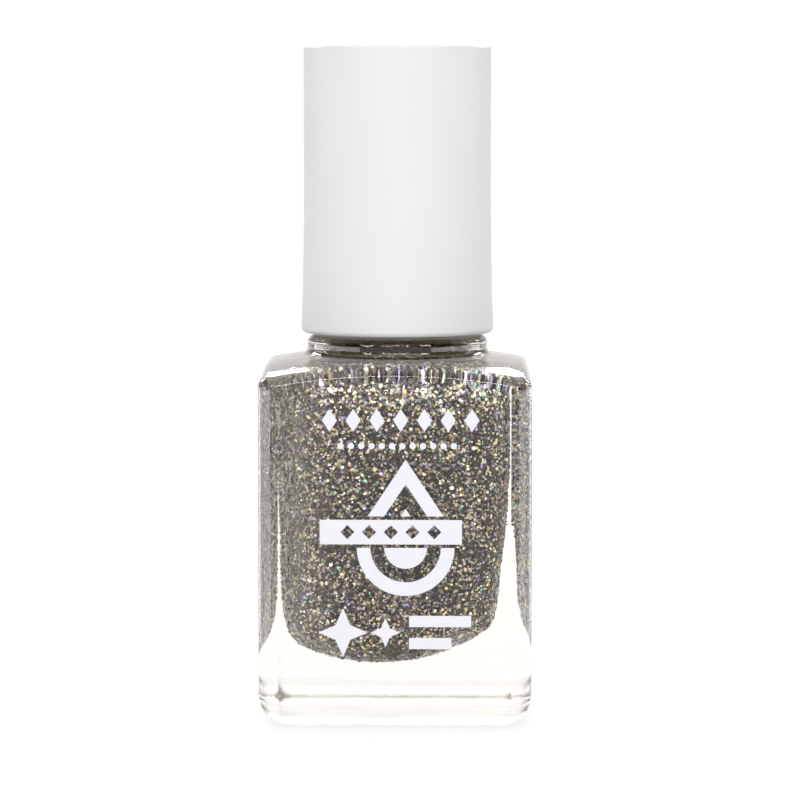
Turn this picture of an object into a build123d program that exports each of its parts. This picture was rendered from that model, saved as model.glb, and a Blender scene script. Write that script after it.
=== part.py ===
from build123d import *
from math import cos, pi, sin, sqrt
import os

# Nail polish bottle: a square glass bottle and a screw cap that carries the brush.
#
# The origin is the centre of the base, on the surface that the bottle stands on. +Z is up, through the
# neck and the cap, and the printed face looks towards -Y. All lengths are in millimetres.

# ---- driving dimensions --------------------------------------------------------------------------

# Glass body: a square prism with round upright corners and a domed shoulder.
BODY_WIDTH = 27.9
BODY_CORNER_RADIUS = 2.15
HEEL_RADIUS = 3.4
SHOULDER_EDGE_RADIUS = 1.35
SHOULDER_TOP_Z = 37.5  # where the dome meets the collar
SHOULDER_LOW_Z = 35.3  # the dome's height just outside the body's upright corners
SHOULDER_RISE = 0.3  # how far the dome bulges above a straight slope

# Collar that the cap comes down to, and the neck above it.
COLLAR_RADIUS = 9.4
COLLAR_TOP_Z = 39.4
COLLAR_TOP_FILLET = 0.8
COLLAR_ROOT_FILLET = 0.7
NECK_RADIUS = 5.75
NECK_ROOT_FILLET = 0.45
RIM_Z = 50.6
RIM_FILLET = 0.4
BORE_RADIUS = 3.85
THROAT_RADIUS = 5.0  # the bore widens to this inside the collar
THROAT_TOP_Z = 38.0
THROAT_TOP_FILLET = 1.0
THROAT_ROOT_FILLET = 1.1

# Cavity: an uneven, blown four-sided space that narrows downwards, with a bowl-shaped floor off centre.
# The four numbers are the x of its sharp corners: front left, front right, back right and back left.
CAVITY_TOP_Z = 35.8
CAVITY_TOP_CORNERS_X = (-9.8, 11.5, 11.25, -13.3)
CAVITY_TOP_HALF_DEPTH = 11.0
CAVITY_FOOT_CORNERS_X = (-10.2, 8.6, 10.1, -11.6)  # at the height of the base
CAVITY_FOOT_HALF_DEPTH = 9.4
CAVITY_CORNER_RADIUS = 3.6
CAVITY_TOP_FILLET = 2.6
FLOOR_Z = 5.95
FLOOR_SPHERE_RADIUS = 19.8
FLOOR_OFFSET_X = -1.8
FLOOR_EDGE_FILLET = 2.3

# Recess under the base, with a small paper label in it.
RECESS_WIDTH = 17.1
RECESS_CORNER_RADIUS = 3.6
RECESS_DEPTH = 0.55
LABEL_WIDTH = 13.5
LABEL_CORNER_RADIUS = 2.2
LABEL_THICKNESS = 0.1

# Thread: twelve turns to the inch, two turns long, on the neck and inside the inner cap.
THREAD_PITCH = 25.4 / 12
THREAD_TURNS = 2.0
THREAD_SINK = 0.15  # how far a ridge is sunk into the wall that carries it
NECK_CREST_RADIUS = 6.5
NECK_THREAD_START_Z = 44.6
NECK_THREAD_ROOT_WIDTH = 1.05
NECK_THREAD_CREST_WIDTH = 0.45
CAP_CREST_RADIUS = 6.1
CAP_THREAD_DROP = 0.87  # the cap's ridge lies this far under the neck's
CAP_THREAD_ROOT_WIDTH = 0.85
CAP_THREAD_CREST_WIDTH = 0.4

# Lacquer in the bottle, and the space that the brush takes up in it.
FILL_Z = 39.7
BRUSH_SPACE_RADIUS = 2.0
BRUSH_SPACE_BELOW = 0.5

# Two loose steel balls that mix the lacquer when the bottle is shaken.
BALL_RADIUS = 2.0
BALL_GAP = 0.03  # between a ball and the floor
BALL_SPACE_GAP = 0.08  # between a ball and the lacquer
BALL_PLACES = [(-3.7, 2.6), (2.9, -3.6)]

# Outer cap: a shell that widens a little towards its mouth.
CAP_BOTTOM_Z = 39.65
CAP_TOP_Z = 69.4
CAP_BOTTOM_RADIUS = 10.05
CAP_TOP_RADIUS = 9.74
CAP_FLARE_Z = 55.4  # the side is upright above this height
CAP_TOP_FILLET = 0.36
CAP_BOTTOM_FILLET = 0.55
CAP_BORE_RADIUS = 8.75
CAP_UPPER_BORE_RADIUS = 8.2
CAP_ROOF_THICKNESS = 1.5
CAP_MOUTH_FILLET = 0.25
CAP_RIB_COUNT = 8
CAP_RIB_WIDTH = 0.9
CAP_RIB_INNER_RADIUS = 6.4

# Inner cap: the threaded cup that the outer cap is pressed onto.
INNER_CAP_BOTTOM_Z = 39.95
INNER_CAP_BORE_RADIUS = 6.85
INNER_CAP_OUTER_RADIUS = 7.9
INNER_CAP_FLANGE_THICKNESS = 1.0
INNER_CAP_RIB_COUNT = 24
INNER_CAP_RIB_WIDTH = 0.7
INNER_CAP_ROOF_THICKNESS = 1.3
INNER_CAP_ROOF_FILLET = 0.3

# Between the cap's pieces.
FIT_GAP = 0.04
RIB_SINK = 0.2  # how far a rib is sunk into the wall that carries it

# Liner: the soft ring that seals the rim.
LINER_OUTER_RADIUS = 5.65
LINER_INNER_RADIUS = 2.4
LINER_THICKNESS = 0.9

# Brush: a rod with a flange and a barbed post, a folded tuft, and the staple that holds the tuft.
FLANGE_RADIUS = 5.2
FLANGE_THICKNESS = 0.9
POST_RADIUS = 2.45
BARB_RADIUS = 2.85
BARB_TOP_RADIUS = 2.15
BARB_HEIGHT = 1.35
POST_BORE_RADIUS = 1.15
ROD_TOP_RADIUS = 1.6
ROD_END_RADIUS = 1.4
ROD_END_Z = 21.8
ROD_END_CHAMFER = 0.2
TUFT_SOCKET_RADIUS = 1.05
TUFT_SOCKET_DEPTH = 3.8
TUFT_TIP_Z = 8.4
TUFT_SIDE_PULLS = [(1.55, 17.1), (2.15, 10.8), (1.7, TUFT_TIP_Z)]  # pull the side's curve out to 1.7
STAPLE_WIDTH = 2.4
STAPLE_HEIGHT = 1.1
STAPLE_THICKNESS = 0.3
STAPLE_BELOW_ROOT = 0.8

# White ornament printed on the front face, a little to the right of its middle.
PRINT_THICKNESS = 0.04
PRINT_SHIFT_X = 0.28
GEM_ROW_Z = 31.6
GEM_ROW_CENTRE_X = 0.35
GEM_COUNT = 7
GEM_SPACING = 2.4
GEM_HALF_WIDTH = 0.76
GEM_HALF_HEIGHT = 1.17
DOT_ROW_Z = 29.0
DOT_COUNT = 12
DOT_SPACING = 1.04
DOT_RADIUS = 0.32
DROP_CENTRE = (0.85, 18.7)
DROP_RADIUS = 4.95
DROP_TIP_RISE = 8.9  # from the round part's centre up to the point
DROP_OUTLINE_INSIDE = 0.72  # the outline's inner edge, as a share of the drop
DROP_CORE = 0.44  # the solid inner drop's size, as a share of the outer one
BAND_LEFT = -7.85
BAND_RIGHT = 6.55
BAND_BOTTOM = 19.0
BAND_HEIGHT = 2.5
BAND_GAP = 0.35  # left open between the band and the drops
BAND_GEM_COUNT = 5
BAND_GEM_SPACING = 2.2
BAND_GEM_HALF = 0.72
STAR_ROW_Z = 10.0
STARS = [(-5.5, 2.5), (-1.2, 1.5)]  # centre and half height
STAR_WAIST = 0.3  # the waist's share of the half height
DASHES = [(1.2, 7.5, 11.15), (1.2, 5.5, 8.9)]  # left end, right end and height
DASH_THICKNESS = 1.15

# ---- worked out from the driving dimensions ------------------------------------------------------

HALF = BODY_WIDTH / 2
CORNER_REACH = (HALF - BODY_CORNER_RADIUS) * sqrt(2) + BODY_CORNER_RADIUS
FLOOR_CENTRE_Z = FLOOR_Z + FLOOR_SPHERE_RADIUS
LINER_TOP_Z = RIM_Z + LINER_THICKNESS
INNER_CAP_ROOF_Z = LINER_TOP_Z + FLANGE_THICKNESS
INNER_CAP_TOP_Z = INNER_CAP_ROOF_Z + INNER_CAP_ROOF_THICKNESS
TUFT_ROOT_Z = ROD_END_Z + TUFT_SOCKET_DEPTH
STAPLE_Z = TUFT_ROOT_Z - STAPLE_BELOW_ROOT
CAP_INSIDE_TOP_Z = CAP_TOP_Z - CAP_ROOF_THICKNESS


# ---- helpers -------------------------------------------------------------------------------------


def rod(radius, low_z, high_z):
    """An upright cylinder from low_z to high_z."""
    return Pos(0, 0, (low_z + high_z) / 2) * Cylinder(radius, high_z - low_z)


def tube(outer_radius, inner_radius, low_z, high_z):
    """An upright ring from low_z to high_z."""
    return rod(outer_radius, low_z, high_z) - rod(inner_radius, low_z, high_z)


def turned(outline):
    """A solid turned about Z from a closed outline in the plane of radius and height."""
    return revolve(Plane.XZ * make_face(outline), Axis.Z)


def circles(solid, radius, z):
    """The edges of a solid that are circles about Z, of one radius at one height."""
    tolerance = 0.01
    return [
        edge
        for edge in solid.edges().filter_by(GeomType.CIRCLE)
        if abs(edge.radius - radius) < tolerance and abs(edge.arc_center.Z - z) < tolerance
    ]


def level_edges(solid, low_z, high_z, beyond=0):
    """The edges that run about level between two heights, further than beyond from the axis."""
    middles = [(edge, edge @ 0.5, edge % 0.5) for edge in solid.edges()]
    return [
        edge
        for edge, middle, direction in middles
        if low_z <= middle.Z <= high_z and abs(direction.Z) < 0.7 and sqrt(middle.X**2 + middle.Y**2) > beyond
    ]


def thread(wall_radius, crest_radius, root_width, crest_width, start_z):
    """A ridge that winds up from start_z, sunk a little into the wall that carries it."""
    direction = 1 if crest_radius > wall_radius else -1
    root_radius = wall_radius - direction * THREAD_SINK
    helix = Pos(0, 0, start_z) * Helix(THREAD_PITCH, THREAD_PITCH * THREAD_TURNS, root_radius)
    reach = crest_radius - root_radius
    profile = make_face(
        Polyline(
            (0, -root_width / 2),
            (reach, -crest_width / 2),
            (reach, crest_width / 2),
            (0, root_width / 2),
            close=True,
        )
    )
    start = Plane(origin=helix @ 0, x_dir=(1, 0, 0), z_dir=helix % 0)
    return sweep(start * profile, path=helix, is_frenet=True)


def ribs(count, width, inner_radius, outer_radius, low_z, high_z):
    """Upright ribs about Z, spaced evenly round the circle."""
    depth = outer_radius - inner_radius
    rib = Pos((inner_radius + outer_radius) / 2, 0, (low_z + high_z) / 2) * Box(depth, width, high_z - low_z)
    return [Rot(0, 0, 360 * i / count) * rib for i in range(count)]


# ---- glass bottle --------------------------------------------------------------------------------


def shoulder_dome():
    """The turned envelope whose top is the shoulder's slope."""
    top = (COLLAR_RADIUS, SHOULDER_TOP_Z)
    low = (CORNER_REACH + 1, SHOULDER_LOW_Z)
    middle = ((top[0] + low[0]) / 2, (top[1] + low[1]) / 2 + SHOULDER_RISE)
    below = Polyline(top, (0, SHOULDER_TOP_Z), (0, 0), (low[0], 0), low)
    return turned(below + ThreePointArc(low, middle, top))


def square_body():
    """The square part of the glass, with its heel, upright corners and shoulder edge rounded."""
    body = Pos(0, 0, SHOULDER_TOP_Z / 2) * Box(BODY_WIDTH, BODY_WIDTH, SHOULDER_TOP_Z)
    body = fillet(level_edges(body, 0, 0), HEEL_RADIUS)
    corners = [edge for edge in body.edges() if (edge @ 0.5).Z < SHOULDER_TOP_Z and abs((edge % 0.5).Z) > 0.3]
    body = fillet(corners, BODY_CORNER_RADIUS) & shoulder_dome()
    return fillet(level_edges(body, HALF, SHOULDER_TOP_Z, beyond=COLLAR_RADIUS + 1), SHOULDER_EDGE_RADIUS)


def cavity_section(corners_x, half_depth):
    """A level section of the cavity, from its sharp corners, with those corners rounded."""
    front_left, front_right, back_right, back_left = corners_x
    corners = [
        (front_left, -half_depth),
        (front_right, -half_depth),
        (back_right, half_depth),
        (back_left, half_depth),
    ]
    section = Polygon(*corners, align=None)
    return fillet(section.vertices(), CAVITY_CORNER_RADIUS)


def cavity():
    """The space inside the square part, from the bowl-shaped floor to the inner shoulder."""
    foot = cavity_section(CAVITY_FOOT_CORNERS_X, CAVITY_FOOT_HALF_DEPTH)
    top = Pos(0, 0, CAVITY_TOP_Z) * cavity_section(CAVITY_TOP_CORNERS_X, CAVITY_TOP_HALF_DEPTH)
    prism = loft([foot, top])
    prism = fillet(level_edges(prism, CAVITY_TOP_Z - 1, CAVITY_TOP_Z), CAVITY_TOP_FILLET)
    bowl = Pos(FLOOR_OFFSET_X, 0, FLOOR_CENTRE_Z) * Sphere(FLOOR_SPHERE_RADIUS)
    above = Pos(0, 0, FLOOR_CENTRE_Z + HALF) * Box(BODY_WIDTH, BODY_WIDTH, BODY_WIDTH)
    space = prism & (bowl + above)
    return fillet(level_edges(space, 0, HALF), FLOOR_EDGE_FILLET)


def inside_of_bottle():
    """Everything that the glass encloses: the cavity, the throat and the neck's bore, past the rim."""
    space = cavity() + rod(THROAT_RADIUS, HALF, THROAT_TOP_Z) + rod(BORE_RADIUS, HALF, RIM_Z + 1)
    space = fillet(circles(space, THROAT_RADIUS, CAVITY_TOP_Z), THROAT_ROOT_FILLET)
    return fillet(circles(space, THROAT_RADIUS, THROAT_TOP_Z), THROAT_TOP_FILLET)


def glass_bottle(inside):
    """The blown bottle, with its collar, threaded neck and hollow base."""
    glass = square_body() + rod(COLLAR_RADIUS, HALF, COLLAR_TOP_Z) + rod(NECK_RADIUS, HALF, RIM_Z)
    glass = fillet(circles(glass, COLLAR_RADIUS, SHOULDER_TOP_Z), COLLAR_ROOT_FILLET)
    glass = fillet(circles(glass, COLLAR_RADIUS, COLLAR_TOP_Z), COLLAR_TOP_FILLET)
    glass = fillet(circles(glass, NECK_RADIUS, COLLAR_TOP_Z), NECK_ROOT_FILLET)
    glass -= inside
    glass = fillet(circles(glass, NECK_RADIUS, RIM_Z) + circles(glass, BORE_RADIUS, RIM_Z), RIM_FILLET)
    glass += thread(
        NECK_RADIUS,
        NECK_CREST_RADIUS,
        NECK_THREAD_ROOT_WIDTH,
        NECK_THREAD_CREST_WIDTH,
        NECK_THREAD_START_Z,
    )
    return glass - extrude(RectangleRounded(RECESS_WIDTH, RECESS_WIDTH, RECESS_CORNER_RADIUS), RECESS_DEPTH)


def base_label():
    """The paper label that is stuck to the roof of the recess under the base."""
    outline = Pos(0, 0, RECESS_DEPTH) * RectangleRounded(LABEL_WIDTH, LABEL_WIDTH, LABEL_CORNER_RADIUS)
    return extrude(outline, -LABEL_THICKNESS)


# ---- what the bottle holds -----------------------------------------------------------------------


def ball_centre(x, y):
    """Where a ball's centre is when it rests on the bowl-shaped floor at x, y."""
    reach = FLOOR_SPHERE_RADIUS - BALL_RADIUS - BALL_GAP
    return Vector(x, y, FLOOR_CENTRE_Z - sqrt(reach**2 - (x - FLOOR_OFFSET_X) ** 2 - y**2))


def ball(x, y):
    """A ball on the floor at x, y."""
    return Pos(ball_centre(x, y)) * Sphere(BALL_RADIUS)


def ball_space(x, y):
    """The space round a ball, open down to the floor under it."""
    centre = ball_centre(x, y)
    opening = Pos(0, 0, -BALL_RADIUS) * Cylinder(BALL_RADIUS * 0.6, 2 * BALL_RADIUS)
    return Pos(centre) * (Sphere(BALL_RADIUS + BALL_SPACE_GAP) + opening)


def polish(inside):
    """The lacquer, with the space that the brush and the balls take up in it."""
    liquid = inside & Pos(0, 0, FILL_Z / 2) * Box(BODY_WIDTH, BODY_WIDTH, FILL_Z)
    liquid -= rod(BRUSH_SPACE_RADIUS, TUFT_TIP_Z - BRUSH_SPACE_BELOW, RIM_Z)
    for x, y in BALL_PLACES:
        liquid -= ball_space(x, y)
    return liquid


# ---- cap -----------------------------------------------------------------------------------------


def overcap():
    """The outer shell, with ribs under its roof that hold the inner cap down."""
    top = (CAP_TOP_RADIUS, CAP_TOP_Z)
    flare = (CAP_TOP_RADIUS, CAP_FLARE_Z)
    mouth = (CAP_BOTTOM_RADIUS, CAP_BOTTOM_Z)
    bulge = (CAP_TOP_RADIUS + (CAP_BOTTOM_RADIUS - CAP_TOP_RADIUS) / 4, (CAP_FLARE_Z + CAP_BOTTOM_Z) / 2)
    inside = Polyline(
        mouth,
        (CAP_BORE_RADIUS, CAP_BOTTOM_Z),
        (CAP_BORE_RADIUS, INNER_CAP_TOP_Z),
        (CAP_UPPER_BORE_RADIUS, INNER_CAP_TOP_Z),
        (CAP_UPPER_BORE_RADIUS, CAP_INSIDE_TOP_Z),
        (0, CAP_INSIDE_TOP_Z),
        (0, CAP_TOP_Z),
        top,
        flare,
    )
    shell = turned(inside + ThreePointArc(flare, bulge, mouth))
    shell = fillet(circles(shell, CAP_TOP_RADIUS, CAP_TOP_Z), CAP_TOP_FILLET)
    shell = fillet(circles(shell, CAP_BOTTOM_RADIUS, CAP_BOTTOM_Z), CAP_BOTTOM_FILLET)
    shell = fillet(circles(shell, CAP_BORE_RADIUS, CAP_BOTTOM_Z), CAP_MOUTH_FILLET)
    for rib in ribs(
        CAP_RIB_COUNT,
        CAP_RIB_WIDTH,
        CAP_RIB_INNER_RADIUS,
        CAP_UPPER_BORE_RADIUS + RIB_SINK,
        INNER_CAP_TOP_Z + FIT_GAP,
        CAP_INSIDE_TOP_Z + RIB_SINK,
    ):
        shell += rib
    return shell


def inner_cap():
    """The threaded cup, with a flange at its mouth and grip ribs round it."""
    flange_radius = CAP_BORE_RADIUS - FIT_GAP
    flange_top = INNER_CAP_BOTTOM_Z + INNER_CAP_FLANGE_THICKNESS
    cup = turned(
        Polyline(
            (INNER_CAP_BORE_RADIUS, INNER_CAP_BOTTOM_Z),
            (flange_radius, INNER_CAP_BOTTOM_Z),
            (flange_radius, flange_top),
            (INNER_CAP_OUTER_RADIUS, flange_top),
            (INNER_CAP_OUTER_RADIUS, INNER_CAP_TOP_Z),
            (POST_RADIUS + FIT_GAP, INNER_CAP_TOP_Z),
            (POST_RADIUS + FIT_GAP, INNER_CAP_ROOF_Z),
            (INNER_CAP_BORE_RADIUS, INNER_CAP_ROOF_Z),
            close=True,
        )
    )
    cup = fillet(circles(cup, INNER_CAP_OUTER_RADIUS, INNER_CAP_TOP_Z), INNER_CAP_ROOF_FILLET)
    for rib in ribs(
        INNER_CAP_RIB_COUNT,
        INNER_CAP_RIB_WIDTH,
        INNER_CAP_OUTER_RADIUS - RIB_SINK,
        flange_radius,
        flange_top - RIB_SINK,
        INNER_CAP_ROOF_Z,
    ):
        cup += rib
    return cup + thread(
        INNER_CAP_BORE_RADIUS,
        CAP_CREST_RADIUS,
        CAP_THREAD_ROOT_WIDTH,
        CAP_THREAD_CREST_WIDTH,
        NECK_THREAD_START_Z - CAP_THREAD_DROP,
    )


def sealing_liner():
    """The soft ring between the glass rim and the brush's flange."""
    return tube(LINER_OUTER_RADIUS, LINER_INNER_RADIUS, RIM_Z, LINER_TOP_Z)


# ---- brush ---------------------------------------------------------------------------------------


def tuft_anchor():
    """The flat staple that holds the folded bristles in the end of the rod."""
    return Pos(0, 0, STAPLE_Z) * Box(STAPLE_WIDTH, STAPLE_THICKNESS, STAPLE_HEIGHT)


def brush_stem(anchor):
    """The rod, with the flange and barbed post that snap into the inner cap."""
    barb_top = INNER_CAP_TOP_Z + BARB_HEIGHT
    stem = turned(
        Polyline(
            (TUFT_SOCKET_RADIUS, ROD_END_Z),
            (ROD_END_RADIUS - ROD_END_CHAMFER, ROD_END_Z),
            (ROD_END_RADIUS, ROD_END_Z + ROD_END_CHAMFER),
            (ROD_TOP_RADIUS, LINER_TOP_Z),
            (FLANGE_RADIUS, LINER_TOP_Z),
            (FLANGE_RADIUS, INNER_CAP_ROOF_Z),
            (POST_RADIUS, INNER_CAP_ROOF_Z),
            (POST_RADIUS, INNER_CAP_TOP_Z),
            (BARB_RADIUS, INNER_CAP_TOP_Z),
            (BARB_TOP_RADIUS, barb_top),
            (POST_BORE_RADIUS, barb_top),
            (POST_BORE_RADIUS, INNER_CAP_ROOF_Z),
            (0, INNER_CAP_ROOF_Z),
            (0, TUFT_ROOT_Z),
            (TUFT_SOCKET_RADIUS, TUFT_ROOT_Z),
            close=True,
        )
    )
    return stem - anchor


def brush_tuft(anchor):
    """The bristles as one body, from the fold in the rod's socket to the rounded tip."""
    tip = (0, TUFT_TIP_Z)
    mouth = (TUFT_SOCKET_RADIUS, ROD_END_Z)
    core = Polyline(tip, (0, TUFT_ROOT_Z), (TUFT_SOCKET_RADIUS, TUFT_ROOT_Z), mouth)
    return turned(core + Bezier(mouth, *TUFT_SIDE_PULLS, tip)) - anchor


# ---- printed ornament ----------------------------------------------------------------------------


def gem(x, z, half_width, half_height):
    """A lozenge."""
    return Pos(x, z) * Polygon((half_width, 0), (0, half_height), (-half_width, 0), (0, -half_height))


def star(x, z, half_height):
    """A sparkle with four long points."""
    radii = [half_height, half_height * STAR_WAIST * sqrt(2)] * 4
    corners = [(r * sin(i * pi / 4), r * cos(i * pi / 4)) for i, r in enumerate(radii)]
    return Pos(x, z) * Polygon(*corners)


def drop(scale):
    """A drop with a round foot and a pointed top, about the drop's own centre."""
    radius = DROP_RADIUS * scale
    tip = (0, DROP_TIP_RISE * scale)
    sideways = radius * sqrt(1 - (DROP_RADIUS / DROP_TIP_RISE) ** 2)
    up = radius * DROP_RADIUS / DROP_TIP_RISE
    arc = ThreePointArc((sideways, up), (0, -radius), (-sideways, up))
    return Pos(*DROP_CENTRE) * make_face(Polyline((-sideways, up), tip, (sideways, up)) + arc)


def row(count, spacing):
    """Evenly spaced places about zero."""
    return [(i - (count - 1) / 2) * spacing for i in range(count)]


def bar(left, right, middle_z, height):
    """A level rectangle."""
    return Pos((left + right) / 2, middle_z) * Rectangle(right - left, height)


def banded_drops():
    """A drop inside an outlined drop, crossed by a band with a row of lozenges left open in it."""
    middle_x = (BAND_LEFT + BAND_RIGHT) / 2
    middle_z = BAND_BOTTOM + BAND_HEIGHT / 2
    shape = drop(1) - drop(DROP_OUTLINE_INSIDE) + drop(DROP_CORE)
    shape -= bar(BAND_LEFT, BAND_RIGHT, middle_z, BAND_HEIGHT + 2 * BAND_GAP)
    shape += bar(BAND_LEFT, BAND_RIGHT, middle_z, BAND_HEIGHT)
    for x in row(BAND_GEM_COUNT, BAND_GEM_SPACING):
        shape -= gem(middle_x + x, middle_z, BAND_GEM_HALF, BAND_GEM_HALF)
    return shape


def front_print():
    """The ornament on the front face: lozenges, dots, banded drops, sparkles and dashes."""
    gem_row = [GEM_ROW_CENTRE_X + x for x in row(GEM_COUNT, GEM_SPACING)]
    shapes = [gem(x, GEM_ROW_Z, GEM_HALF_WIDTH, GEM_HALF_HEIGHT) for x in gem_row]
    shapes += [Pos(x, DOT_ROW_Z) * Circle(DOT_RADIUS) for x in row(DOT_COUNT, DOT_SPACING)]
    shapes += banded_drops().faces()
    shapes += [star(x, STAR_ROW_Z, half_height) for x, half_height in STARS]
    shapes += [bar(left, right, z, DASH_THICKNESS) for left, right, z in DASHES]
    front = Plane.XZ.offset(HALF) * Pos(PRINT_SHIFT_X, 0)
    return Compound([extrude(front * shape, PRINT_THICKNESS, dir=(0, -1, 0)).solid() for shape in shapes])


# ---- write the nodes -----------------------------------------------------------------------------


def main():
    inside = inside_of_bottle()
    anchor = tuft_anchor()
    nodes = {
        "glass_bottle": glass_bottle(inside),
        "front_print": front_print(),
        "base_label": base_label(),
        "polish": polish(inside),
        "overcap": overcap(),
        "inner_cap": inner_cap(),
        "sealing_liner": sealing_liner(),
        "brush_stem": brush_stem(anchor),
        "brush_tuft": brush_tuft(anchor),
        "tuft_anchor": anchor,
    }
    for i, place in enumerate(BALL_PLACES):
        nodes[f"mixing_ball_{i + 1}"] = ball(*place)
    os.makedirs("parts", exist_ok=True)
    for name, shape in nodes.items():
        export_step(shape, f"parts/{name}.step")


main()
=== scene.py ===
"""Looks of the nail polish bottle: glass, glitter lacquer, print, cap, brush, lights and camera."""

import math

import bmesh
import bpy
import numpy as np
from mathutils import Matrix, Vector
from mathutils.bvhtree import BVHTree


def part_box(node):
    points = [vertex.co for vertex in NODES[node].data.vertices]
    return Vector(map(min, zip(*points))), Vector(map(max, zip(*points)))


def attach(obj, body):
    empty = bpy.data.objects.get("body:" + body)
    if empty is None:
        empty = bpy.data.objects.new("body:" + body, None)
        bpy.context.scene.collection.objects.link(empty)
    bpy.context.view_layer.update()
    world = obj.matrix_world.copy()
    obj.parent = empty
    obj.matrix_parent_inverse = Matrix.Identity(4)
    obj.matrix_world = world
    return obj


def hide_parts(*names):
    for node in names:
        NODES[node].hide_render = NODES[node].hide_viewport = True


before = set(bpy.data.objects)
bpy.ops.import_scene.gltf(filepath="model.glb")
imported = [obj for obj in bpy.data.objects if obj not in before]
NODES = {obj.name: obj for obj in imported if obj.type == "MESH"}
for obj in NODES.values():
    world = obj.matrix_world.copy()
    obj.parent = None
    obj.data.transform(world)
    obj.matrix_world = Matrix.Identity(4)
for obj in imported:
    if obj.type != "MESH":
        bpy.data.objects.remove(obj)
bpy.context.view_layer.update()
MM = 0.001

# ---- places taken from the frame -------------------------------------------------------------------

GLASS_LOW, GLASS_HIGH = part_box("glass_bottle")
LACQUER_LOW, LACQUER_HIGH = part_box("polish")
TUFT_LOW, TUFT_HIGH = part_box("brush_tuft")
LABEL_LOW, LABEL_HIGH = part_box("base_label")
STEM_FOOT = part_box("brush_stem")[0].z
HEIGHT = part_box("overcap")[1].z
FILL_LEVEL = LACQUER_HIGH.z
CAVITY_MIDDLE = Vector((0, 0, (LACQUER_LOW.z + LACQUER_HIGH.z) / 2))
SHOULDER_PROBE = 7 * MM  # beside the throat, where the cavity's top is level


def bvh_of(node):
    """A CAD node's surface, ready for ray casts."""
    mesh = NODES[node].data
    return BVHTree.FromPolygons([v.co for v in mesh.vertices], [p.vertices[:] for p in mesh.polygons])


def cavity_top():
    """The height of the cavity's level top, found by looking up from inside it."""
    start = CAVITY_MIDDLE + Vector((SHOULDER_PROBE, 0, 0))
    return bvh_of("glass_bottle").ray_cast(start, Vector((0, 0, 1)))[0].z


CAVITY_TOP = cavity_top()

# ---- camera ----------------------------------------------------------------------------------------

CAMERA_DISTANCE = 387 * MM
CAMERA_HEIGHT = 64.8 * MM
CAMERA_TURN = math.radians(1.2)  # a little round to the right of the printed face
VIEW_WIDTH = 83.4 * MM  # what the frame spans at the bottle's axis
AIM_HEIGHT = 32.5 * MM
AIM_SIDE = 0.27 * MM  # the bottle stands a little left of the frame's middle
SENSOR_WIDTH = 36  # in mm, as Blender's cameras take it


def make_camera():
    """A long lens that looks slightly down on the bottle, from just right of its printed face."""
    data = bpy.data.cameras.new("camera")
    data.sensor_width = SENSOR_WIDTH
    data.lens = SENSOR_WIDTH * CAMERA_DISTANCE / VIEW_WIDTH
    data.clip_start = CAMERA_DISTANCE / 100
    camera = bpy.data.objects.new("camera", data)
    bpy.context.scene.collection.objects.link(camera)
    outward = Vector((math.sin(CAMERA_TURN), -math.cos(CAMERA_TURN), 0))
    sideways = Vector((math.cos(CAMERA_TURN), math.sin(CAMERA_TURN), 0)) * AIM_SIDE
    camera.location = outward * CAMERA_DISTANCE + sideways + Vector((0, 0, CAMERA_HEIGHT))
    aim = sideways + Vector((0, 0, AIM_HEIGHT)) - camera.location
    camera.rotation_euler = aim.to_track_quat("-Z", "Y").to_euler()
    bpy.context.scene.camera = camera


# ---- shader helpers --------------------------------------------------------------------------------


def feed(tree, socket, value):
    """Links an input to another node's output, or sets it to a number, a colour or a vector."""
    if isinstance(value, bpy.types.NodeSocket):
        tree.links.new(value, socket)
    elif socket.type == "RGBA":
        socket.default_value = (*value, 1)
    else:
        socket.default_value = value


def fill(tree, node, inputs):
    """Feeds several inputs of a node, each by its name or number."""
    for name, value in inputs.items():
        feed(tree, node.inputs[name], value)


def add(tree, kind, inputs=None, **settings):
    """A shader node with its settings and its inputs."""
    node = tree.nodes.new("ShaderNode" + kind)
    for name, value in settings.items():
        setattr(node, name, value)
    fill(tree, node, inputs or {})
    return node


def material(name):
    """A new node material: its tree, its Principled shader and the object's own coordinates."""
    made = bpy.data.materials.new(name)
    made.use_nodes = True
    tree = made.node_tree
    shader = tree.nodes["Principled BSDF"]
    place = add(tree, "TexCoord").outputs["Object"]
    return made, tree, shader, place


def ramp(tree, factor, stops, interpolation="LINEAR"):
    """A colour ramp through (position, colour) stops."""
    node = add(tree, "ValToRGB", {"Fac": factor})
    node.color_ramp.interpolation = interpolation
    elements = node.color_ramp.elements
    while len(elements) < len(stops):
        elements.new(1)
    for element, (position, colour) in zip(elements, stops):
        element.position = position
        element.color = (*colour, 1)
    return node.outputs["Color"]


def mapped(tree, value, to, span=(0.0, 1.0)):
    """A value moved from a span to another range, and held at its ends."""
    inputs = {"Value": value, "From Min": span[0], "From Max": span[1], "To Min": to[0], "To Max": to[1]}
    return add(tree, "MapRange", inputs).outputs["Result"]


def mixed(tree, factor, first, second):
    """A colour between two, by a factor. A mix of colours has its inputs at 0, 6 and 7."""
    return add(tree, "Mix", {0: factor, 6: first, 7: second}, data_type="RGBA").outputs[2]


def summed(tree, first, second):
    return add(tree, "Math", {0: first, 1: second}, operation="ADD").outputs[0]


def vector(tree, operation, inputs):
    return add(tree, "VectorMath", inputs, operation=operation).outputs[0]


def coordinate(tree, place, axis):
    return add(tree, "SeparateXYZ", {"Vector": place}).outputs[axis]


def stretched(tree, place, scale):
    """Coordinates scaled along each axis: marks are drawn out where the scale is small."""
    return add(tree, "Mapping", {"Vector": place, "Scale": scale}).outputs[0]


def noise(tree, place, scale, detail=3, roughness=0.5):
    """Soft noise from 0 to 1, with about so many features to the metre."""
    inputs = {"Vector": place, "Scale": scale, "Detail": detail, "Roughness": roughness}
    return add(tree, "TexNoise", inputs).outputs["Fac"]


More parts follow.
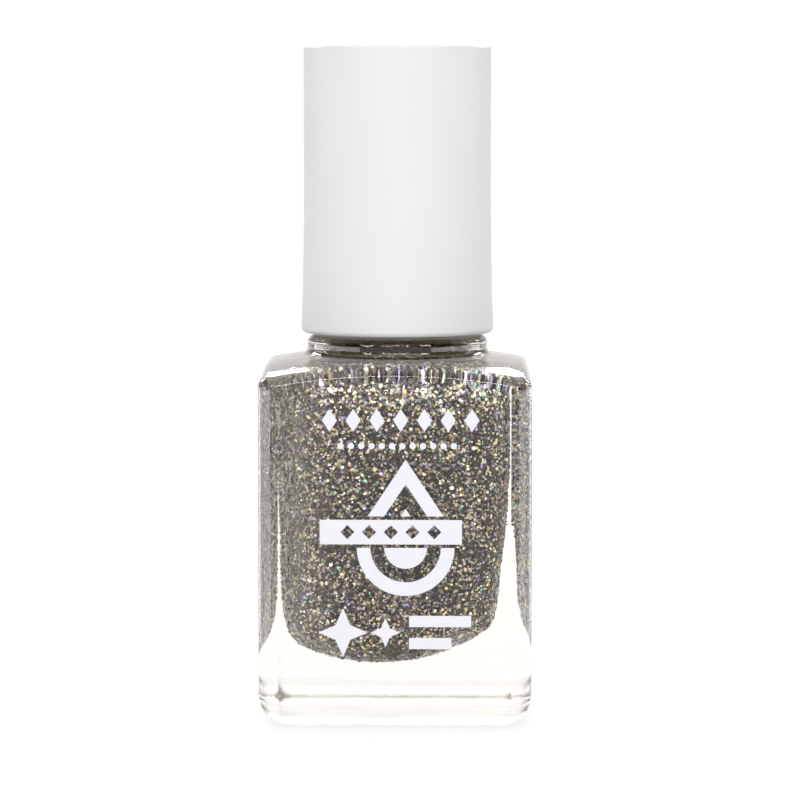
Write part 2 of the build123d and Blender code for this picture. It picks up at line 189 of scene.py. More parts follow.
def cells(tree, place, scale, output):
    """Random cells, so many to the metre: each one's own "Color", or the "Distance" to its middle."""
    return add(tree, "TexVoronoi", {"Vector": place, "Scale": scale}).outputs[output]


def channel(tree, colour, name):
    return add(tree, "SeparateColor", {"Color": colour}).outputs[name]


def bump(tree, height, distance):
    return add(tree, "Bump", {"Height": height, "Distance": distance}).outputs["Normal"]


def grey(value):
    return (value,) * 3


def shade(colour, factor):
    """A colour made darker or lighter."""
    return tuple(min(channel * factor, 1.0) for channel in colour)


# ---- glass -----------------------------------------------------------------------------------------

RIPPLE_SCALE = 160
STREAK_SCALE = 520
STREAK_STRETCH = 0.1  # how much slower the streaks change up the wall than across it
WALL_RELIEF = 0.04 * MM
WALL_ROUGHNESS = 0.02  # at the most: a blown wall is nearly a perfect polish
FOOT_STIPPLE = 0.4  # roughness of the foot, which fades out up the heel
STIPPLE_FADE = (1.2 * MM, 3.0 * MM)


def glass_material():
    """Clear flint glass, faintly cream in its depth, with a blown wall's streaks and a stippled foot."""
    made, tree, shader, place = material("clear_glass")
    ripple = noise(tree, place, RIPPLE_SCALE, detail=2)
    streaks = noise(tree, stretched(tree, place, (1.0, 1.0, STREAK_STRETCH)), STREAK_SCALE, detail=2)
    fine = mapped(tree, noise(tree, place, scale=900, detail=2), (0.0, WALL_ROUGHNESS))
    stipple = mapped(tree, coordinate(tree, place, "Z"), (FOOT_STIPPLE, 0.0), STIPPLE_FADE)
    looks = {
        "Base Color": (0.99, 0.99, 0.985),
        "Roughness": summed(tree, fine, stipple),
        "Normal": bump(tree, summed(tree, ripple, streaks), WALL_RELIEF),
        "IOR": 1.5,
        "Transmission Weight": 1.0,
        "Sheen Weight": 1.0,
        "Sheen Roughness": 0.3,
        "Sheen Tint": (1.0, 0.96, 0.92),
    }
    fill(tree, shader, looks)
    depth = add(tree, "VolumeAbsorption", {"Color": (0.86, 0.79, 0.66), "Density": 12.0}).outputs[0]
    feed(tree, tree.nodes["Material Output"].inputs["Volume"], depth)
    return made


# ---- lacquer and glitter ---------------------------------------------------------------------------

# Each colour holds from its position to the next, so the gaps say how much of the glitter wears it.
LACQUER_STOPS = [
    (0.0, (0.005, 0.003, 0.003)),
    (0.30, (0.030, 0.017, 0.015)),
    (0.52, (0.080, 0.052, 0.064)),
    (0.68, (0.20, 0.15, 0.09)),
    (0.80, (0.52, 0.42, 0.24)),
    (0.90, (0.95, 0.88, 0.60)),
]
FLAKE_STOPS = [
    (0.0, (0.022, 0.014, 0.015)),
    (0.30, (0.13, 0.080, 0.095)),
    (0.43, (0.52, 0.40, 0.20)),
    (0.50, (1.0, 0.95, 0.72)),
    (0.73, (1.0, 0.87, 0.30)),
    (0.82, (0.58, 0.40, 0.84)),
    (0.89, (0.90, 0.54, 0.62)),
    (0.92, (0.26, 0.68, 0.60)),
    (0.955, (0.28, 0.42, 0.96)),
    (0.98, (0.98, 0.55, 0.20)),
]
# Painted highlight: glitter under the inner shoulder is coloured mostly bright white, gold and lilac,
# standing in for the light that the shoulder reflects.
SHOULDER_HIGHLIGHT_STOPS = [
    (0.0, (0.05, 0.035, 0.035)),
    (0.40, (1.0, 0.98, 0.92)),
    (0.76, (1.0, 0.92, 0.55)),
    (0.92, (0.78, 0.68, 0.96)),
]

GLITTER_SCALE = 4600.0  # cells to the metre
CELL_TILT = 1.1
CELL_ROUGHNESS = (0.25, 0.6)

CLOUD = (0.05, 0.04, 0.036)  # the darker tone of the lacquer's soft clouds
CLOUD_SHARE = 0.45
CLOUD_EDGE = (0.45, 0.7)  # the noise level where a soft cloud begins, and where it is full

NECK_FILM = (0.16, 0.118, 0.038)  # the even film in the throat, above the cavity's top
NECK_EDGE = (CAVITY_TOP, CAVITY_TOP + 0.8 * MM)

# Painted light: the lacquer and its flakes are painted paler towards the left wall, where more light falls
# on them.
LEFT_LIGHT_TONE = (0.47, 0.43, 0.38)
LEFT_LIGHT_SHARE = 0.6
LEFT_LIGHT_EDGE = (LACQUER_LOW.x, LACQUER_LOW.x * 0.45)  # fullest at the left wall, gone nearer the middle

SCUFF = (0.9, 0.86, 0.8)  # a faint paleness on the flakes, in patches
SCUFF_SHARE = 0.25


def painted_left_light(tree, place, colour):
    """A colour painted paler towards the left wall: painted light, standing in for more light falling on
    that side of the lacquer.
    """
    share = mapped(tree, coordinate(tree, place, "X"), (LEFT_LIGHT_SHARE, 0.0), LEFT_LIGHT_EDGE)
    return mixed(tree, share, colour, LEFT_LIGHT_TONE)


def glitter_tint(tree, grains):
    """The colours of fine glitter, one for each cell."""
    return ramp(tree, channel(tree, grains, "Red"), LACQUER_STOPS, "CONSTANT")


def glitter_tilt(tree, grains):
    """The surface's normal, leaning its own way in each cell."""
    centred = vector(tree, "SUBTRACT", {0: grains, 1: grey(0.5)})
    lean = vector(tree, "SCALE", {0: centred, "Scale": CELL_TILT})
    normal = add(tree, "NewGeometry").outputs["Normal"]
    return vector(tree, "NORMALIZE", {0: vector(tree, "ADD", {0: normal, 1: lean})})


def lacquer_material(name, coat, coat_roughness):
    """Smoky lacquer crowded with fine champagne glitter, a little deeper in tone in soft clouds, and painted
    paler towards the left wall as painted light.
    """
    made, tree, shader, place = material(name)
    grains = cells(tree, place, GLITTER_SCALE, "Color")
    cloud = mapped(tree, noise(tree, place, scale=260, detail=2), (0.0, CLOUD_SHARE), CLOUD_EDGE)
    clouded = mixed(tree, cloud, glitter_tint(tree, grains), CLOUD)
    neck = mapped(tree, coordinate(tree, place, "Z"), (0.0, 1.0), NECK_EDGE)
    looks = {
        "Base Color": mixed(tree, neck, painted_left_light(tree, place, clouded), NECK_FILM),
        "Roughness": mapped(tree, channel(tree, grains, "Green"), CELL_ROUGHNESS),
        "Normal": glitter_tilt(tree, grains),
        "Metallic": 0.5,
        "IOR": 1.2,
        "Coat Weight": coat,
        "Coat IOR": 1.3,
        "Coat Roughness": coat_roughness,
    }
    fill(tree, shader, looks)
    return made


def flake_material(name, stops):
    """Metallic glitter flakes, each with one of the colours of its mix, painted paler towards the left wall
    as painted light.
    """
    made, tree, shader, place = material(name)
    island = add(tree, "NewGeometry").outputs["Random Per Island"]
    colour = ramp(tree, island, stops, "CONSTANT")
    scuff = noise(tree, place, scale=9000, detail=2)
    scuffed = mixed(tree, mapped(tree, scuff, (0.0, SCUFF_SHARE)), colour, SCUFF)
    looks = {
        "Base Color": painted_left_light(tree, place, scuffed),
        "Roughness": mapped(tree, scuff, (0.18, 0.38)),
        "Metallic": 0.85,
    }
    fill(tree, shader, looks)
    return made


# ---- cap, ink, label and brush materials -----------------------------------------------------------


def plastic_material(name, colour, roughness, grain_scale, grain_depth):
    """Moulded plastic: an even colour with faint flow clouding and a fine satin grain."""
    made, tree, shader, place = material(name)
    flow = noise(tree, place, scale=90, detail=2)
    grain = noise(tree, place, grain_scale, detail=4)
    looks = {
        "Base Color": ramp(tree, flow, [(0.35, shade(colour, 0.985)), (0.65, colour)]),
        "Roughness": mapped(tree, grain, (roughness - 0.05, roughness + 0.05)),
        "Normal": bump(tree, grain, grain_depth),
        "IOR": 1.49,
    }
    fill(tree, shader, looks)
    return made


def ink_material():
    """Screen printed white ink, a touch lilac, with the fine pinholes and mesh of the print."""
    made, tree, shader, place = material("white_ink")
    mesh_marks = cells(tree, place, 4200, "Distance")
    blotch = noise(tree, place, scale=1100)
    looks = {
        "Base Color": ramp(tree, blotch, [(0.3, (0.77, 0.76, 0.82)), (0.7, (0.80, 0.79, 0.85))]),
        "Roughness": mapped(tree, blotch, (0.34, 0.5)),
        "Normal": bump(tree, mesh_marks, 0.004 * MM),
    }
    fill(tree, shader, looks)
    return made


SAMPLE_RADIUS = (LABEL_HIGH.x - LABEL_LOW.x) * 0.3  # of the round patch of colour on the label
SAMPLE_EDGE = (SAMPLE_RADIUS * 0.98, SAMPLE_RADIUS)


def paper_material():
    """The base label: warm white paper with fibres and a round patch of the lacquer's colour."""
    made, tree, shader, place = material("label_paper")
    fibres = noise(tree, place, scale=1600, detail=5, roughness=0.7)
    paper = ramp(tree, fibres, [(0.3, (0.80, 0.79, 0.76)), (0.7, (0.90, 0.89, 0.86))])
    flat = {axis: coordinate(tree, place, axis) for axis in "XY"}
    middle_out = add(tree, "CombineXYZ", flat).outputs[0]
    reach = add(tree, "VectorMath", {0: middle_out}, operation="LENGTH").outputs["Value"]
    inside = mapped(tree, reach, (1.0, 0.0), SAMPLE_EDGE)
    speckle = glitter_tint(tree, cells(tree, place, GLITTER_SCALE, "Color"))
    looks = {
        "Base Color": mixed(tree, inside, paper, speckle),
        "Roughness": 0.85,
        "Normal": bump(tree, fibres, 0.01 * MM),
    }
    fill(tree, shader, looks)
    return made


def metal_material(name, colour, roughness, stretch, depth):
    """Steel with fine marks drawn out along one axis, or even ones where the stretch is equal."""
    made, tree, shader, place = material(name)
    marks = noise(tree, stretched(tree, place, stretch), scale=2600, detail=4, roughness=0.65)
    looks = {
        "Base Color": ramp(tree, marks, [(0.3, shade(colour, 0.85)), (0.7, colour)]),
        "Roughness": mapped(tree, marks, (roughness * 0.6, roughness * 1.4)),
        "Normal": bump(tree, marks, depth),
        "Metallic": 1.0,
    }
    fill(tree, shader, looks)
    return made


def foam_material():
    """The liner: white closed cell foam with small bubbles in its skin."""
    made, tree, shader, place = material("liner_foam")
    bubbles = cells(tree, place, 5200, "Distance")
    looks = {
        "Base Color": ramp(tree, bubbles, [(0.0, (0.78, 0.78, 0.75)), (0.5, (0.9, 0.9, 0.87))]),
        "Roughness": 0.75,
        "Normal": bump(tree, bubbles, 0.03 * MM),
        "Subsurface Weight": 0.15,
        "Subsurface Scale": 0.5 * MM,
    }
    fill(tree, shader, looks)
    return made


STEM_FILM = (0.16, 0.135, 0.11)
STEM_FILM_BODY = 0.55  # how far the film's own colour covers its glitter
FILM_RUNS = 0.12  # how much slower the film's ragged edge changes down the stem than round it
FILM_REACH = 2.5 * MM  # how far the runs stray from the lacquer's level
FILM_EDGE = (FILL_LEVEL - 0.2 * MM, FILL_LEVEL + 0.2 * MM)


def stem_material():
    """White stem plastic that wears a film of glitter lacquer below the level it dips to."""
    made, tree, shader, place = material("stem_plastic")
    runs = noise(tree, stretched(tree, place, (1.0, 1.0, FILM_RUNS)), scale=900)
    ragged = mapped(tree, runs, (-FILM_REACH, FILM_REACH), (0.25, 0.75))
    coated = mapped(tree, summed(tree, coordinate(tree, place, "Z"), ragged), (1.0, 0.0), FILM_EDGE)
    glitter = glitter_tint(tree, cells(tree, place, GLITTER_SCALE, "Color"))
    film = mixed(tree, STEM_FILM_BODY, glitter, STEM_FILM)
    looks = {
        "Base Color": mixed(tree, coated, (0.86, 0.86, 0.84), film),
        "Roughness": mapped(tree, coated, (0.35, 0.2)),
        "Metallic": mapped(tree, coated, (0.0, 0.4)),
        "Normal": bump(tree, noise(tree, place, scale=2400), 0.01 * MM),
    }
    fill(tree, shader, looks)
    return made


def bristle_material():
    """Dark nylon bristles, wet and a little uneven in tone from one to the next."""
    made, tree, shader, place = material("bristle_black")
    island = add(tree, "NewGeometry").outputs["Random Per Island"]
    grain = noise(tree, place, scale=5200, detail=2)
    looks = {
        "Base Color": ramp(tree, island, [(0.0, (0.012, 0.011, 0.010)), (1.0, (0.055, 0.048, 0.042))]),
        "Roughness": mapped(tree, grain, (0.22, 0.45)),
        "Normal": bump(tree, grain, 0.004 * MM),
        "Coat Weight": 0.6,
        "Coat Roughness": 0.1,
    }
    fill(tree, shader, looks)
    return made


def paint(node, made):
    NODES[node].data.materials.clear()
    NODES[node].data.materials.append(made)


def paint_nodes():
    """Gives the CAD nodes that stay in the scene their materials."""
    paint("glass_bottle", glass_material())
    paint("overcap", plastic_material("cap_white", (0.75, 0.75, 0.75), 0.36, 3000, 0.002 * MM))
    paint("inner_cap", plastic_material("inner_cap_white", (0.80, 0.80, 0.77), 0.5, 1500, 0.006 * MM))
    paint("sealing_liner", foam_material())
    paint("brush_stem", stem_material())
    paint("tuft_anchor", metal_material("staple_wire", (0.72, 0.71, 0.68), 0.35, (0.05, 1, 1), 0.004 * MM))
    steel = metal_material("ball_steel", (0.72, 0.72, 0.73), 0.14, (1, 1, 1), 0.002 * MM)
    paint("mixing_ball_1", steel)
    paint("mixing_ball_2", steel)


# ---- stage -----------------------------------------------------------------------------------------

FLOOR_HALF = 3.0
FLOOR_GLOW = 0.75


def make_floor():
    """A pale matt floor of opal sheet, lit a little from below as a product table is."""
    corners = [(-FLOOR_HALF, -FLOOR_HALF, 0), (FLOOR_HALF, -FLOOR_HALF, 0)]
    corners += [(FLOOR_HALF, FLOOR_HALF, 0), (-FLOOR_HALF, FLOOR_HALF, 0)]
    mesh = bpy.data.meshes.new("floor")
    mesh.from_pydata(corners, [], [(0, 1, 2, 3)])
    floor = bpy.data.objects.new("floor", mesh)
    bpy.context.scene.collection.objects.link(floor)
    made, tree, shader, place = material("floor")
    looks = {
        "Base Color": ramp(tree, noise(tree, place, scale=40), [(0.3, grey(0.24)), (0.7, grey(0.26))]),
        "Roughness": 0.9,
        "Emission Color": grey(1),
        "Emission Strength": FLOOR_GLOW,
    }
    fill(tree, shader, looks)
    mesh.materials.append(made)


# Radiance of the studio by how far up a direction points: 0 is level and 1 is straight up.
WALL_SKY = [(0.0, 1.04), (0.50, 1.04), (0.62, 0.90), (0.80, 1.70)]
FLANK_SKY = [(0.0, 1.04), (0.06, 1.04), (0.14, 0.06), (0.65, 0.06), (0.85, 1.70)]
FLANK_EDGE = (0.25, 0.60)  # how far sideways a direction points where the flanks begin, and are full


def make_world():
    """A studio with white walls before and behind the bottle, dim flanks and a bright ceiling."""
    world = bpy.data.worlds.new("studio")
    world.use_nodes = True
    bpy.context.scene.world = world
    tree = world.node_tree
    parts = add(tree, "SeparateXYZ", {"Vector": add(tree, "TexCoord").outputs["Generated"]}).outputs
    sideways = add(tree, "Math", {0: parts["X"]}, operation="ABSOLUTE").outputs[0]
    flank = mapped(tree, sideways, (0.0, 1.0), FLANK_EDGE)
    brightest = WALL_SKY[-1][1]
    wall, side = (
        ramp(tree, parts["Z"], [(up, grey(value / brightest)) for up, value in sky])
        for sky in (WALL_SKY, FLANK_SKY)
    )
    background = {"Color": mixed(tree, flank, wall, side), "Strength": brightest}
    fill(tree, tree.nodes["Background"], background)


# Soft boxes: name, place, size and radiance.
BANKS = [
    ("front_bank", (0.0, -1.0, 0.50), (0.6, 0.13), 12.5),
    ("back_bank", (0.0, 1.0, 0.50), (0.7, 0.14), 6.0),
]
STRIPS = [
    ("left_strip", (-0.80, 0.25, 0.35), (0.03, 0.40), 9.0),
    ("right_strip", (0.80, 0.25, 0.35), (0.03, 0.40), 9.0),
]

# Lamps round the bottle that only light the sparkle of glitter and glass: name and place in plan.
SPARKLE_LAMPS = [
    ("sparkle_front_left", -0.65, -0.80),
    ("sparkle_front_right", 0.65, -0.80),
    ("sparkle_back_left", -0.65, 0.80),
    ("sparkle_back_right", 0.65, 0.80),
]
SPARKLE_HEIGHT = 0.55
SPARKLE_SIZE = (0.26, 0.26)
SPARKLE_RADIANCE = 12.0

# White cards stand beside the glass, for the pale gleam along its edges; they show only in reflections.
# A flat side seen squarely mirrors the near card, so that is the fainter one. Each card has its name,
# its place from front to back, its length and its radiance.
CARD_DISTANCE = 0.062
CARD_HEIGHT = 0.037
EDGE_CARDS = [
    ("front_card", -0.039, 0.050, 3.5),
    ("near_card", 0.0, 0.028, 2.0),
    ("rear_card", 0.029, 0.030, 3.5),
]


def area_light(name, place, size, radiance):
    """A soft box aimed at the bottle, as bright as a surface of that radiance."""
    data = bpy.data.lights.new(name, "AREA")
    data.shape = "RECTANGLE"
    data.size, data.size_y = size
    data.energy = radiance * math.pi * size[0] * size[1]
    light = bpy.data.objects.new(name, data)
    bpy.context.scene.collection.objects.link(light)
    light.location = place
    aim = Vector((0, 0, HEIGHT / 2)) - light.location
    light.rotation_euler = aim.to_track_quat("-Z", "Y").to_euler()
    return light


def make_edge_cards():
    """The cards on both sides, which face each other and light nothing but the glass."""
    glass_only = bpy.data.collections.new("glass_only")
    glass_only.objects.link(NODES["glass_bottle"])
    for x in (-CARD_DISTANCE, CARD_DISTANCE):
        for name, y, length, radiance in EDGE_CARDS:
            card = area_light(name, (x, y, CARD_HEIGHT / 2), (length, CARD_HEIGHT), radiance)
            card.rotation_euler = Vector((-x, 0, 0)).to_track_quat("-Z", "Y").to_euler()
            card.visible_camera = card.visible_diffuse = card.visible_transmission = False
            card.light_linking.receiver_collection = glass_only


def make_lights():
    """Banks before and behind, sparkle lamps at the corners, the cards, and a strip on each side."""
    for bank in BANKS:
        area_light(*bank)
    for name, x, y in SPARKLE_LAMPS:
        lamp = area_light(name, (x, y, SPARKLE_HEIGHT), SPARKLE_SIZE, SPARKLE_RADIANCE)
        lamp.visible_diffuse = False
    make_edge_cards()
    for strip in STRIPS:
        area_light(*strip)


LIGHT_BOUNCES = 24  # enough for light to cross the glass and come back


def set_rendering():
    bpy.context.scene.view_settings.view_transform = "Standard"
    bpy.context.scene.cycles.max_bounces = LIGHT_BOUNCES
    bpy.context.scene.cycles.transmission_bounces = LIGHT_BOUNCES


# ---- mesh helpers ----------------------------------------------------------------------------------


def place_piece(name, data, made, body, replaced=None):
    """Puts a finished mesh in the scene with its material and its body."""
    piece = bpy.data.objects.new(name, data)
    bpy.context.scene.collection.objects.link(piece)
    data.materials.append(made)
    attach(piece, body)
    if replaced:
        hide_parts(replaced)
    return piece


def smooth_mesh(name, mesh):
    """Turns a bmesh into smooth-shaded mesh data."""
    bmesh.ops.recalc_face_normals(mesh, faces=mesh.faces[:])
    for face in mesh.faces:
        face.smooth = True
    data = bpy.data.meshes.new(name)
    mesh.to_mesh(data)
    mesh.free()
    return data


def add_turned(mesh, outline, steps):
    """Adds a ring of closed outlines round Z: outline(turn) gives each one's (radius, height) points."""
    rings = []
    for i in range(steps):
        turn = 2 * math.pi * i / steps
        rings.append([mesh.verts.new((r * math.cos(turn), r * math.sin(turn), z)) for r, z in outline(turn)])
    for here, there in zip(rings, rings[1:] + rings[:1]):
        for j in range(len(here)):
            k = (j + 1) % len(here)
            mesh.faces.new((here[j], there[j], there[k], here[k]))


def add_tube(mesh, points, radii, sides):
    """Adds a closed tube through the points, with its own radius at each."""
    rings = []
    for i, point in enumerate(points):
        ahead = points[min(i + 1, len(points) - 1)] - points[max(i - 1, 0)]
        side = ahead.orthogonal().normalized()
        up = ahead.normalized().cross(side)
        ring = []
        for j in range(sides):
            turn = 2 * math.pi * j / sides
            ring.append(mesh.verts.new(point + (side * math.cos(turn) + up * math.sin(turn)) * radii[i]))
        rings.append(ring)
    for here, there in zip(rings, rings[1:]):
        for j in range(sides):
            k = (j + 1) % sides
            mesh.faces.new((here[j], here[k], there[k], there[j]))
    mesh.faces.new(rings[0][::-1])
    mesh.faces.new(rings[-1])


# ---- ink and label ---------------------------------------------------------------------------------

BOND_DEPTH = 0.01 * MM  # how far a stuck piece reaches into the glass, so that no air shows behind it


def bonded(name, node, axis, made):
    """A copy of a thin CAD piece whose face against the glass, its high side, is sunk into it."""
    low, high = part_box(node)
    data = NODES[node].data.copy()
    data.materials.clear()
    for vertex in data.vertices:
        if vertex.co[axis] > (low[axis] + high[axis]) / 2:
            vertex.co[axis] += BOND_DEPTH
    place_piece(name, data, made, "bottle", node)


# ---- lacquer ---------------------------------------------------------------------------------------

WALL_SINK = 0.08 * MM  # the lacquer reaches at least this far into the glass, so that no air shows between
WALL_WAVE = 0.24 * MM  # the most that the blown wall's unevenness adds to it
WALL_BULGE = 0.55 * MM  # and a swelling half way up the right wall adds up to this
BULGE_Z = 23.5 * MM
BULGE_REACH = 8.0 * MM
WAVES = [(5.2, 16.5, 0.6), (8.5, -23.0, 2.1), (-13.0, 9.5, 4.4)]  # length round and up in mm, and phase
SPHERE_CUTS = 110


def wall_depth(point):
    """How far into the glass the lacquer reaches at a point of the wall: it wavers from place to place."""
    around = math.atan2(point.y, point.x) * (GLASS_HIGH.x - GLASS_LOW.x) / 2
    swell = sum(
        math.sin(2 * math.pi * (around / length_round + point.z / length_up) / MM + phase)
        for length_round, length_up, phase in WAVES
    )
    facing_right = max(0.0, point.x / point.xy.length) ** 2
    bulge = WALL_BULGE * math.exp(-(((point.z - BULGE_Z) / BULGE_REACH) ** 4)) * facing_right
    return WALL_SINK + WALL_WAVE * (0.5 + 0.5 * swell / len(WAVES)) + bulge


def lacquer_point(glass, direction):
    """Where the lacquer ends on a ray from the cavity's middle: at its level, or a little into the glass."""
    hit, normal, _, _ = glass.ray_cast(CAVITY_MIDDLE, direction)
    if direction.z > 0:
        level = CAVITY_MIDDLE + direction * ((FILL_LEVEL - CAVITY_MIDDLE.z) / direction.z)
        if hit is None or level.z < hit.z:
            return level
    outward = normal if normal.dot(direction) > 0 else -normal
    return hit + outward * wall_depth(hit)


def poured_lacquer():
    """The lacquer as it lies against the glass, from the bowl of the floor up to its level."""
    glass = bvh_of("glass_bottle")
    mesh = bmesh.new()
    bmesh.ops.create_cube(mesh, size=2)
    bmesh.ops.subdivide_edges(mesh, edges=mesh.edges[:], cuts=SPHERE_CUTS, use_grid_fill=True)
    for vertex in mesh.verts:
        vertex.co = lacquer_point(glass, vertex.co.normalized())
    made = lacquer_material("glitter_lacquer", coat=1.0, coat_roughness=0.04)
    return place_piece("lacquer", smooth_mesh("lacquer", mesh), made, "bottle", "polish")


# ---- glitter flakes --------------------------------------------------------------------------------

FLAKE_THICKNESS = 0.03 * MM
FLAKE_SIDES = 6
FLAKE_TILT = 0.28  # how far a flake's normal strays from the surface's, give or take
FLAKE_STANDOFF = 0.01 * MM  # how far a flake lies outside the lacquer at the least
FLAKE_SPREAD = 0.10 * MM  # and what chance adds to that

# Heights from the cavity's top in mm, and how thickly the flakes lie there; there are none in the neck.
ALL_OVER = ([-7.0, -1.5, 0.3, 0.8], [1.0, 1.8, 1.8, 0.0])
# The band under the cavity's top where that brightly coloured glitter lies: a painted highlight.
SHOULDER_HIGHLIGHT_BAND = ([-2.9, -2.3, -0.3, 0.1], [0.0, 1.0, 1.0, 0.0])

# Each layer: name, seed, count, smallest, usual and largest flake in mm, colours and crowding.
FLAKE_LAYERS = [
    ("fine_glitter", 41, 16000, (0.12, 0.20, 0.32), FLAKE_STOPS, ALL_OVER),
    ("coarse_glitter", 43, 10500, (0.24, 0.31, 0.46), FLAKE_STOPS, ALL_OVER),
    # The shoulder layer is real glitter given bright colours, a painted highlight along the inner shoulder.
    ("shoulder_highlight_glitter", 47, 900, (0.30, 0.42, 0.60), SHOULDER_HIGHLIGHT_STOPS, SHOULDER_HIGHLIGHT_BAND),
]


def unit(vectors):
    return vectors / np.linalg.norm(vectors, axis=1)[:, None]


def surface_samples(data, count, random, weight):
    """Random points on a mesh, with its normals there: weight(middles) says how crowded each face is."""
    data.calc_loop_triangles()
    corners = np.array([t.vertices[:] for t in data.loop_triangles])
    points = np.array([v.co[:] for v in data.vertices])
    a, b, c = (points[corners[:, i]] for i in range(3))
    cross = np.cross(b - a, c - a)
    area = np.linalg.norm(cross, axis=1) / 2
    share = area * weight((a + b + c) / 3)
    chosen = random.choice(len(share), size=count, p=share / share.sum())
    u, v = random.random((2, count))
    folded = u + v > 1
    u[folded], v[folded] = 1 - u[folded], 1 - v[folded]
    at = a[chosen] + (b - a)[chosen] * u[:, None] + (c - a)[chosen] * v[:, None]
    return at, unit(cross[chosen])


def flakes(name, at, normal, sizes, tilt, random):
    """Thin six-sided flakes at the given points, each leaning its own way."""
    count = len(at)
    facing = unit(normal + random.normal(0, tilt, (count, 3)))
    side = unit(np.cross(facing, random.normal(0, 1, (count, 3))))
    up = np.cross(facing, side)
    turns = np.arange(FLAKE_SIDES) * 2 * math.pi / FLAKE_SIDES
    rim = [at + (side * math.cos(t) + up * math.sin(t)) * sizes[:, None] / 2 for t in turns]
    front = at + facing * FLAKE_THICKNESS / 2
    back = at - facing * FLAKE_THICKNESS / 2
    points = np.stack(rim + [front, back], axis=1).reshape(-1, 3)
    first = np.arange(count)[:, None] * (FLAKE_SIDES + 2)
    pattern = []
    for i in range(FLAKE_SIDES):
        j = (i + 1) % FLAKE_SIDES
        pattern += [(i, j, FLAKE_SIDES), (j, i, FLAKE_SIDES + 1)]
    faces = (first[:, :, None] + np.array(pattern)[None]).reshape(-1, 3)
    data = bpy.data.meshes.new(name)
    data.from_pydata(points.tolist(), [], faces.tolist())
    return data


def by_height(heights, crowding):
    """A weight for surface samples, from the crowding at heights above the cavity's top."""
    levels = CAVITY_TOP + np.array(heights) * MM

    def weight(middles):
        return np.interp(middles[:, 2], levels, crowding)

    return weight


def glitter_against_glass(lacquer):
    """The flakes on the outside of the lacquer, against the glass: one piece for each layer."""
    for name, seed, count, sizes, stops, crowding in FLAKE_LAYERS:
        random = np.random.default_rng(seed)
        at, normal = surface_samples(lacquer.data, count, random, by_height(*crowding))
        at = at + normal * (random.random((count, 1)) * FLAKE_SPREAD + FLAKE_STANDOFF)
        data = flakes(name, at, normal, random.triangular(*sizes, count) * MM, FLAKE_TILT, random)
        place_piece(name, data, flake_material(name, stops), "bottle")


# ---- brush -----------------------------------------------------------------------------------------

TUFT_PROBES = 60
PROBE_MARGIN = 0.2 * MM  # between the tuft's ends and the nearest probes
PROBE_REACH = 5 * MM  # the probing rays start this far from the axis
TIP_FULLNESS = 0.93  # the least radius below the tuft's widest part, as a share of the widest


def tuft_radius():
    """The tuft's radius at a height, from the CAD tuft; below its widest part it stays as full."""
    tuft = bvh_of("brush_tuft")
    heights = np.linspace(TUFT_LOW.z + PROBE_MARGIN, TUFT_HIGH.z - PROBE_MARGIN, TUFT_PROBES)
    radii = [tuft.ray_cast(Vector((0, PROBE_REACH, z)), Vector((0, -1, 0)))[0].y for z in heights]
    widest = int(np.argmax(radii))
    full = [max(r, radii[widest] * TIP_FULLNESS) if i < widest else r for i, r in enumerate(radii)]

    def radius_at(z):
        return float(np.interp(z, heights, full))

    return radius_at


BRISTLE_SEED = 7
BRISTLE_COUNT = 340
BRISTLE_RADIUS = 0.062 * MM
BRISTLE_TAPER = 0.55  # how much of its radius a bristle loses by its tip
BRISTLE_SPANS = 12
BRISTLE_SIDES = 5
BRISTLE_DRIFT = 0.10  # radians that a bristle strays round the tuft by its tip, give or take
BRISTLE_CROWDING = 0.32  # a power of chance: under a half, the bristles crowd towards the outside
BRISTLE_REACH = 0.96  # the outermost bristles' place, as a share of the tuft's radius
ROOT_DEPTH = 0.6 * MM  # how far under the tuft's top the bristles start
TIP_CLEARANCE = 0.08 * MM
TIP_ROUNDING = 2.4 * MM  # how much further down the middle bristles reach than the outer ones
TIP_RAGGEDNESS = 0.5 * MM


def bristle_tuft(radius_at):
    """The bristles, crowded in the rod's socket and spreading to the tuft's fullness."""
    random = np.random.default_rng(BRISTLE_SEED)
    mesh = bmesh.new()
    root = TUFT_HIGH.z - ROOT_DEPTH
    for _ in range(BRISTLE_COUNT):
        share = random.random() ** BRISTLE_CROWDING * BRISTLE_REACH
        turn = random.random() * 2 * math.pi
        drift = random.normal(0, BRISTLE_DRIFT)
        foot = TUFT_LOW.z + TIP_CLEARANCE + TIP_ROUNDING * share**2.5 + random.random() * TIP_RAGGEDNESS
        points = []
        radii = []
        for i in range(BRISTLE_SPANS + 1):
            along = i / BRISTLE_SPANS
            z = root + (foot - root) * along
            reach = radius_at(z) * share - BRISTLE_RADIUS
            angle = turn + drift * along**2
            points.append(Vector((reach * math.cos(angle), reach * math.sin(angle), z)))
            radii.append(BRISTLE_RADIUS * (1 - BRISTLE_TAPER * along**4))
        add_tube(mesh, points, radii, BRISTLE_SIDES)
    data = smooth_mesh("bristles", mesh)
    place_piece("bristles", data, bristle_material(), "cap", "brush_tuft")


MASS_SEED = 11
MASS_ROWS = 46
MASS_STEPS = 64
MASS_TOP = STEM_FOOT + 1.2 * MM
MASS_FOOT = TUFT_LOW.z + 0.05 * MM
MASS_FILL = 0.80  # how much of the tuft's radius the mass fills at its top
MASS_SWELL = 0.14  # how much more of it at the foot
MASS_LUMPS = 0.10  # and how much the lumps add or take
MASS_ROUNDING = 0.16  # the share of its length over which the foot rounds to a point
MASS_CORE = 0.01 * MM  # radius of the fine bore that is left round the axis
LUMP_WAVES = 7  # waves of lumps, each with its own lobes, phase and pitch
LUMP_LOBES = (2, 7)  # how many lobes a wave has round the mass: from two to six
LUMP_PHASE = 6.28  # a phase is anywhere in a whole turn
LUMP_PITCH = (1.0, 3.0)
LUMP_TWIST = 9  # radians that a wave of pitch 1 runs through from top to foot


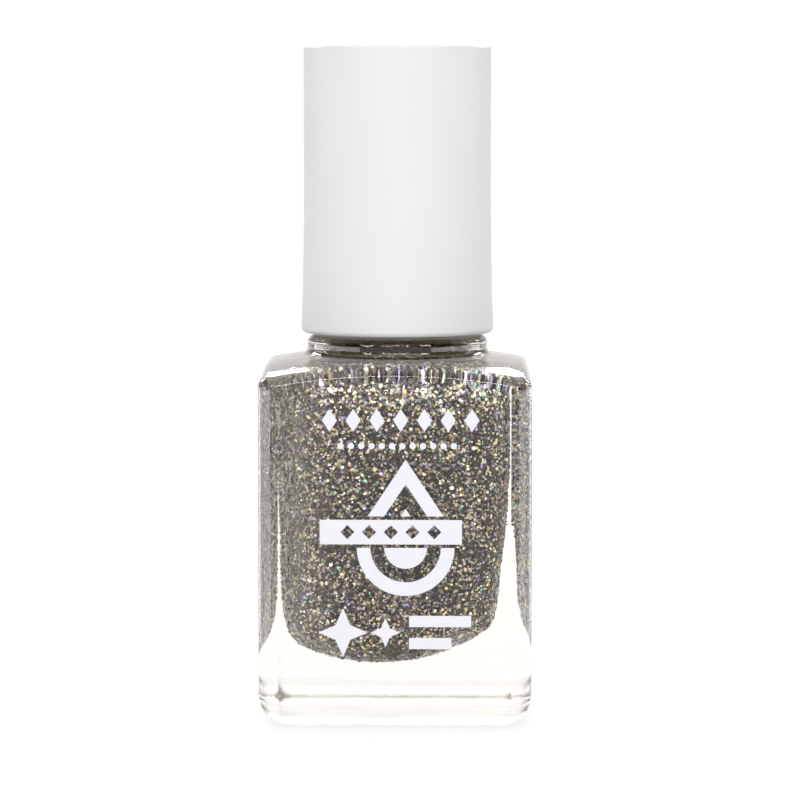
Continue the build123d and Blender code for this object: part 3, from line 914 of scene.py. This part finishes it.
def lacquer_on_tuft(radius_at):
    """The lacquer that the tuft holds: a wet mass among the bristles, gathered towards the tip."""
    random = np.random.default_rng(MASS_SEED)
    waves = [
        (random.integers(*LUMP_LOBES), random.random() * LUMP_PHASE, random.uniform(*LUMP_PITCH))
        for _ in range(LUMP_WAVES)
    ]

    def outline(turn):
        """Heights down the tuft's side and back up near the axis, uneven from side to side."""
        side = []
        for i in range(MASS_ROWS + 1):
            along = i / MASS_ROWS
            z = MASS_TOP + (MASS_FOOT - MASS_TOP) * along
            lump = sum(math.sin(k * turn + phase + along * LUMP_TWIST * pitch) for k, phase, pitch in waves)
            close = math.sqrt(max(0.0, 1 - max(0.0, 1 - (1 - along) / MASS_ROUNDING) ** 2))
            hug = MASS_FILL + MASS_SWELL * along + MASS_LUMPS * lump / len(waves)
            side.append((max(radius_at(z) * hug * close, 2 * MASS_CORE), z))
        return side + [(MASS_CORE, MASS_FOOT), (MASS_CORE, MASS_TOP)]

    mesh = bmesh.new()
    add_turned(mesh, outline, MASS_STEPS)
    data = smooth_mesh("lacquer_on_tuft", mesh)
    made = lacquer_material("wet_lacquer", coat=0.8, coat_roughness=0.06)
    return place_piece("lacquer_on_tuft", data, made, "cap")


STUCK_SEED = 19
STUCK_COUNT = 1600
STUCK_SIZES = (0.14, 0.2, 0.34)  # smallest, usual and largest in mm
STUCK_TILT = 0.2
STUCK_DEPTH = 0.005 * MM
STUCK_OUTSIDE = 0.5 * MM  # flakes stick further from the axis than this


def on_side(middles):
    """A weight for surface samples that leaves out the bore round the mass's axis."""
    return (np.hypot(middles[:, 0], middles[:, 1]) > STUCK_OUTSIDE).astype(float)


def glitter_on_brush(mass):
    """Flakes stuck in the wet lacquer of the tuft."""
    random = np.random.default_rng(STUCK_SEED)
    at, normal = surface_samples(mass.data, STUCK_COUNT, random, on_side)
    sizes = random.triangular(*STUCK_SIZES, STUCK_COUNT) * MM
    data = flakes("glitter_on_brush", at - normal * STUCK_DEPTH, normal, sizes, STUCK_TILT, random)
    made = flake_material("glitter_on_brush", FLAKE_STOPS)
    place_piece("glitter_on_brush", data, made, "cap")


# ---- the scene -------------------------------------------------------------------------------------

make_camera()
make_floor()
make_world()
make_lights()
set_rendering()

paint_nodes()
bonded("ornament_ink", "front_print", 1, ink_material())
bonded("paper_label", "base_label", 2, paper_material())
glitter_against_glass(poured_lacquer())
fullness = tuft_radius()
bristle_tuft(fullness)
glitter_on_brush(lacquer_on_tuft(fullness))
